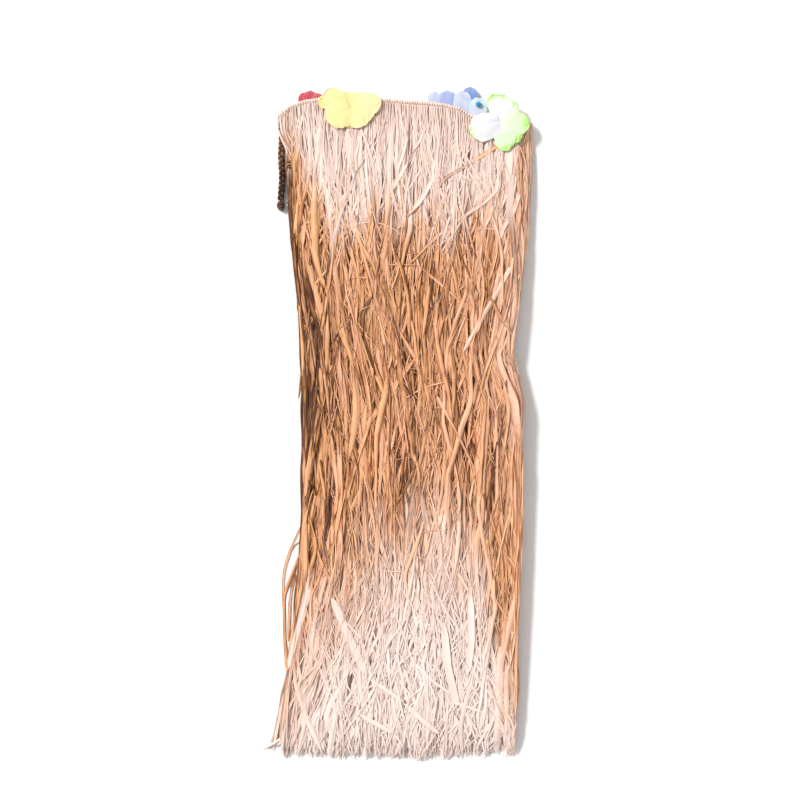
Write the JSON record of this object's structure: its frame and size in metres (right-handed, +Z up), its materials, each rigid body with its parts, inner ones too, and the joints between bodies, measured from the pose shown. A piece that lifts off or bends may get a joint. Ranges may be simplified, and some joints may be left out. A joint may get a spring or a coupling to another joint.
{
  "type": "grass skirt",
  "caption": "Raffia grass skirt folded flat: a waist cord with a long straw fringe, cloth flowers along the waist and a plaited tie at the side.",
  "frame": {"origin": "middle of the base of the folded skirt, without its tie, on the surface it lies on", "axes": "+Y along the strands from the hem to the waist, +X across the skirt, +Z up from the surface"},
  "size_m": [0.3002, 0.7748, 0.0283],
  "materials": {
    "raffia_warm": "split palm ribbon, warm tan, slightly shiny along the fibre",
    "raffia_pale": "split palm ribbon, pale, slightly shiny along the fibre",
    "raffia_brown": "split palm ribbon, brown, dull",
    "cord_natural": "twisted cord, matte",
    "tie_dark": "plaited raffia cord, dark brown, matte",
    "petal_yellow": "thin woven cloth, matte",
    "petal_green": "thin woven cloth, lime edges and a white middle, matte",
    "petal_blue": "thin woven cloth, lavender blue, matte",
    "petal_red": "thin woven cloth, matte",
    "bead_teal": "moulded plastic, glossy"
  },
  "bodies": {
    "root": {"hidden_layers": "raffia_brown", "front_fringe": "raffia_warm", "over_fringe": "raffia_pale", "cross_fringe": "raffia_warm", "left_fringe": "raffia_warm", "right_fringe": "raffia_brown", "waist_cord": "cord_natural", "tie": "tie_dark", "tie_knot": "tie_dark", "flower_yellow": "petal_yellow", "flower_green": "petal_green", "flower_blue": "petal_blue", "flower_red": "petal_red", "bead_blue": "bead_teal"}
  },
  "joints": []
}
